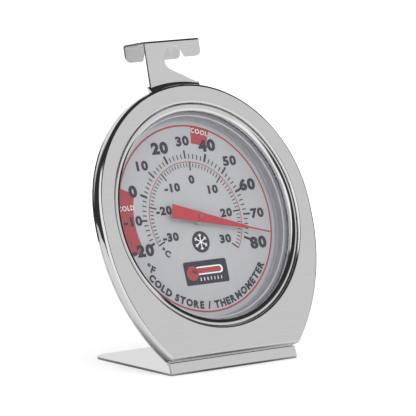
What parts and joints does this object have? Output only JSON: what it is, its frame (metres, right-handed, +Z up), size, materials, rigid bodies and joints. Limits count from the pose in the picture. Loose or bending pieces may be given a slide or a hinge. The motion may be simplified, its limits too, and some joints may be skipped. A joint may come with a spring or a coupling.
{
  "type": "dial thermometer",
  "caption": "Round dial refrigerator thermometer in a steel case, with a hanging hook above, a folded stand below and a turning pointer.",
  "frame": {"origin": "on the underside of the stand, below the middle of the whole object", "axes": "+Z up as it stands, +X to the right when facing the dial, -Y towards the reader; the dial leans back 19 degrees"},
  "size_m": [0.0826, 0.0441, 0.0982],
  "materials": {
    "satin_steel": "satin stainless sheet",
    "polished_steel": "polished stainless ring",
    "can_steel": "drawn stainless, plain",
    "lens_glass": "clear flat glass",
    "grey_ring": "matt grey moulded ring",
    "dial_face": "silver dial with printed scale",
    "brass": "turned brass",
    "bimetal": "rolled bimetal strip",
    "arbor_steel": "turned steel",
    "pointer_red": "satin red paint"
  },
  "bodies": {
    "case": {"front_shell": "satin_steel", "back_plate": "satin_steel", "rear_can": "can_steel", "bezel_ring": "polished_steel", "glass_lens": "lens_glass", "spacer_ring": "grey_ring", "dial_support_ring": "grey_ring", "dial_plate": "dial_face", "movement_bridge": "brass", "standoff_1": "brass", "standoff_2": "brass", "standoff_3": "brass", "rivet_1": "can_steel", "rivet_2": "can_steel", "rivet_3": "can_steel", "front_bearing": "brass", "rear_bearing": "brass", "bimetal_coil": "bimetal", "coil_anchor_pin": "brass"},
    "pointer": {"pointer": "pointer_red", "pointer_hub": "arbor_steel", "arbor": "arbor_steel", "coil_collet": "brass"}
  },
  "joints": [
    {"name": "pointer_turn", "type": "hinge", "parent": "case", "child": "pointer", "pos_m": [0, -0.00804, 0.0462], "axis": [0, 0.9452, -0.3266], "range_deg": [-218, 12], "stiffness_Nm_per_rad": 0.0002}
  ]
}
